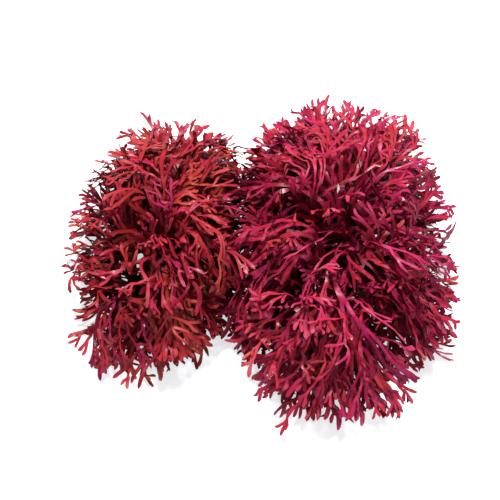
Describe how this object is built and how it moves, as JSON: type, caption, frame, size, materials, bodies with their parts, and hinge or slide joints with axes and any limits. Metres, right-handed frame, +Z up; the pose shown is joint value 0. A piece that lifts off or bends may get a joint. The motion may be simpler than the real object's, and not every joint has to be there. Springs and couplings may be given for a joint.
{
  "type": "gracilaria seaweed",
  "caption": "Clump of red seaweed with two lobes of flat, repeatedly forked ribbon fronds that spring from small holdfasts.",
  "frame": {"origin": "middle of the clump's outline in plan, on the surface it lies on", "axes": "+X along the two lobes, from the smaller to the larger; +Y towards the back; +Z up"},
  "size_m": [0.1996, 0.1862, 0.062],
  "materials": {
    "fronds_scarlet": "satin",
    "fronds_crimson": "satin",
    "fronds_magenta": "satin"
  },
  "bodies": {
    "root": {"left_thallus_1": "fronds_scarlet", "left_thallus_2": "fronds_scarlet", "left_thallus_3": "fronds_scarlet", "left_thallus_4": "fronds_scarlet", "left_thallus_5": "fronds_scarlet", "left_crown_1": "fronds_scarlet", "right_thallus_1": "fronds_crimson", "right_thallus_2": "fronds_crimson", "right_thallus_3": "fronds_crimson", "right_thallus_4": "fronds_crimson", "right_thallus_5": "fronds_crimson", "right_thallus_6": "fronds_crimson", "right_crown_1": "fronds_magenta", "right_crown_2": "fronds_magenta"}
  },
  "joints": []
}
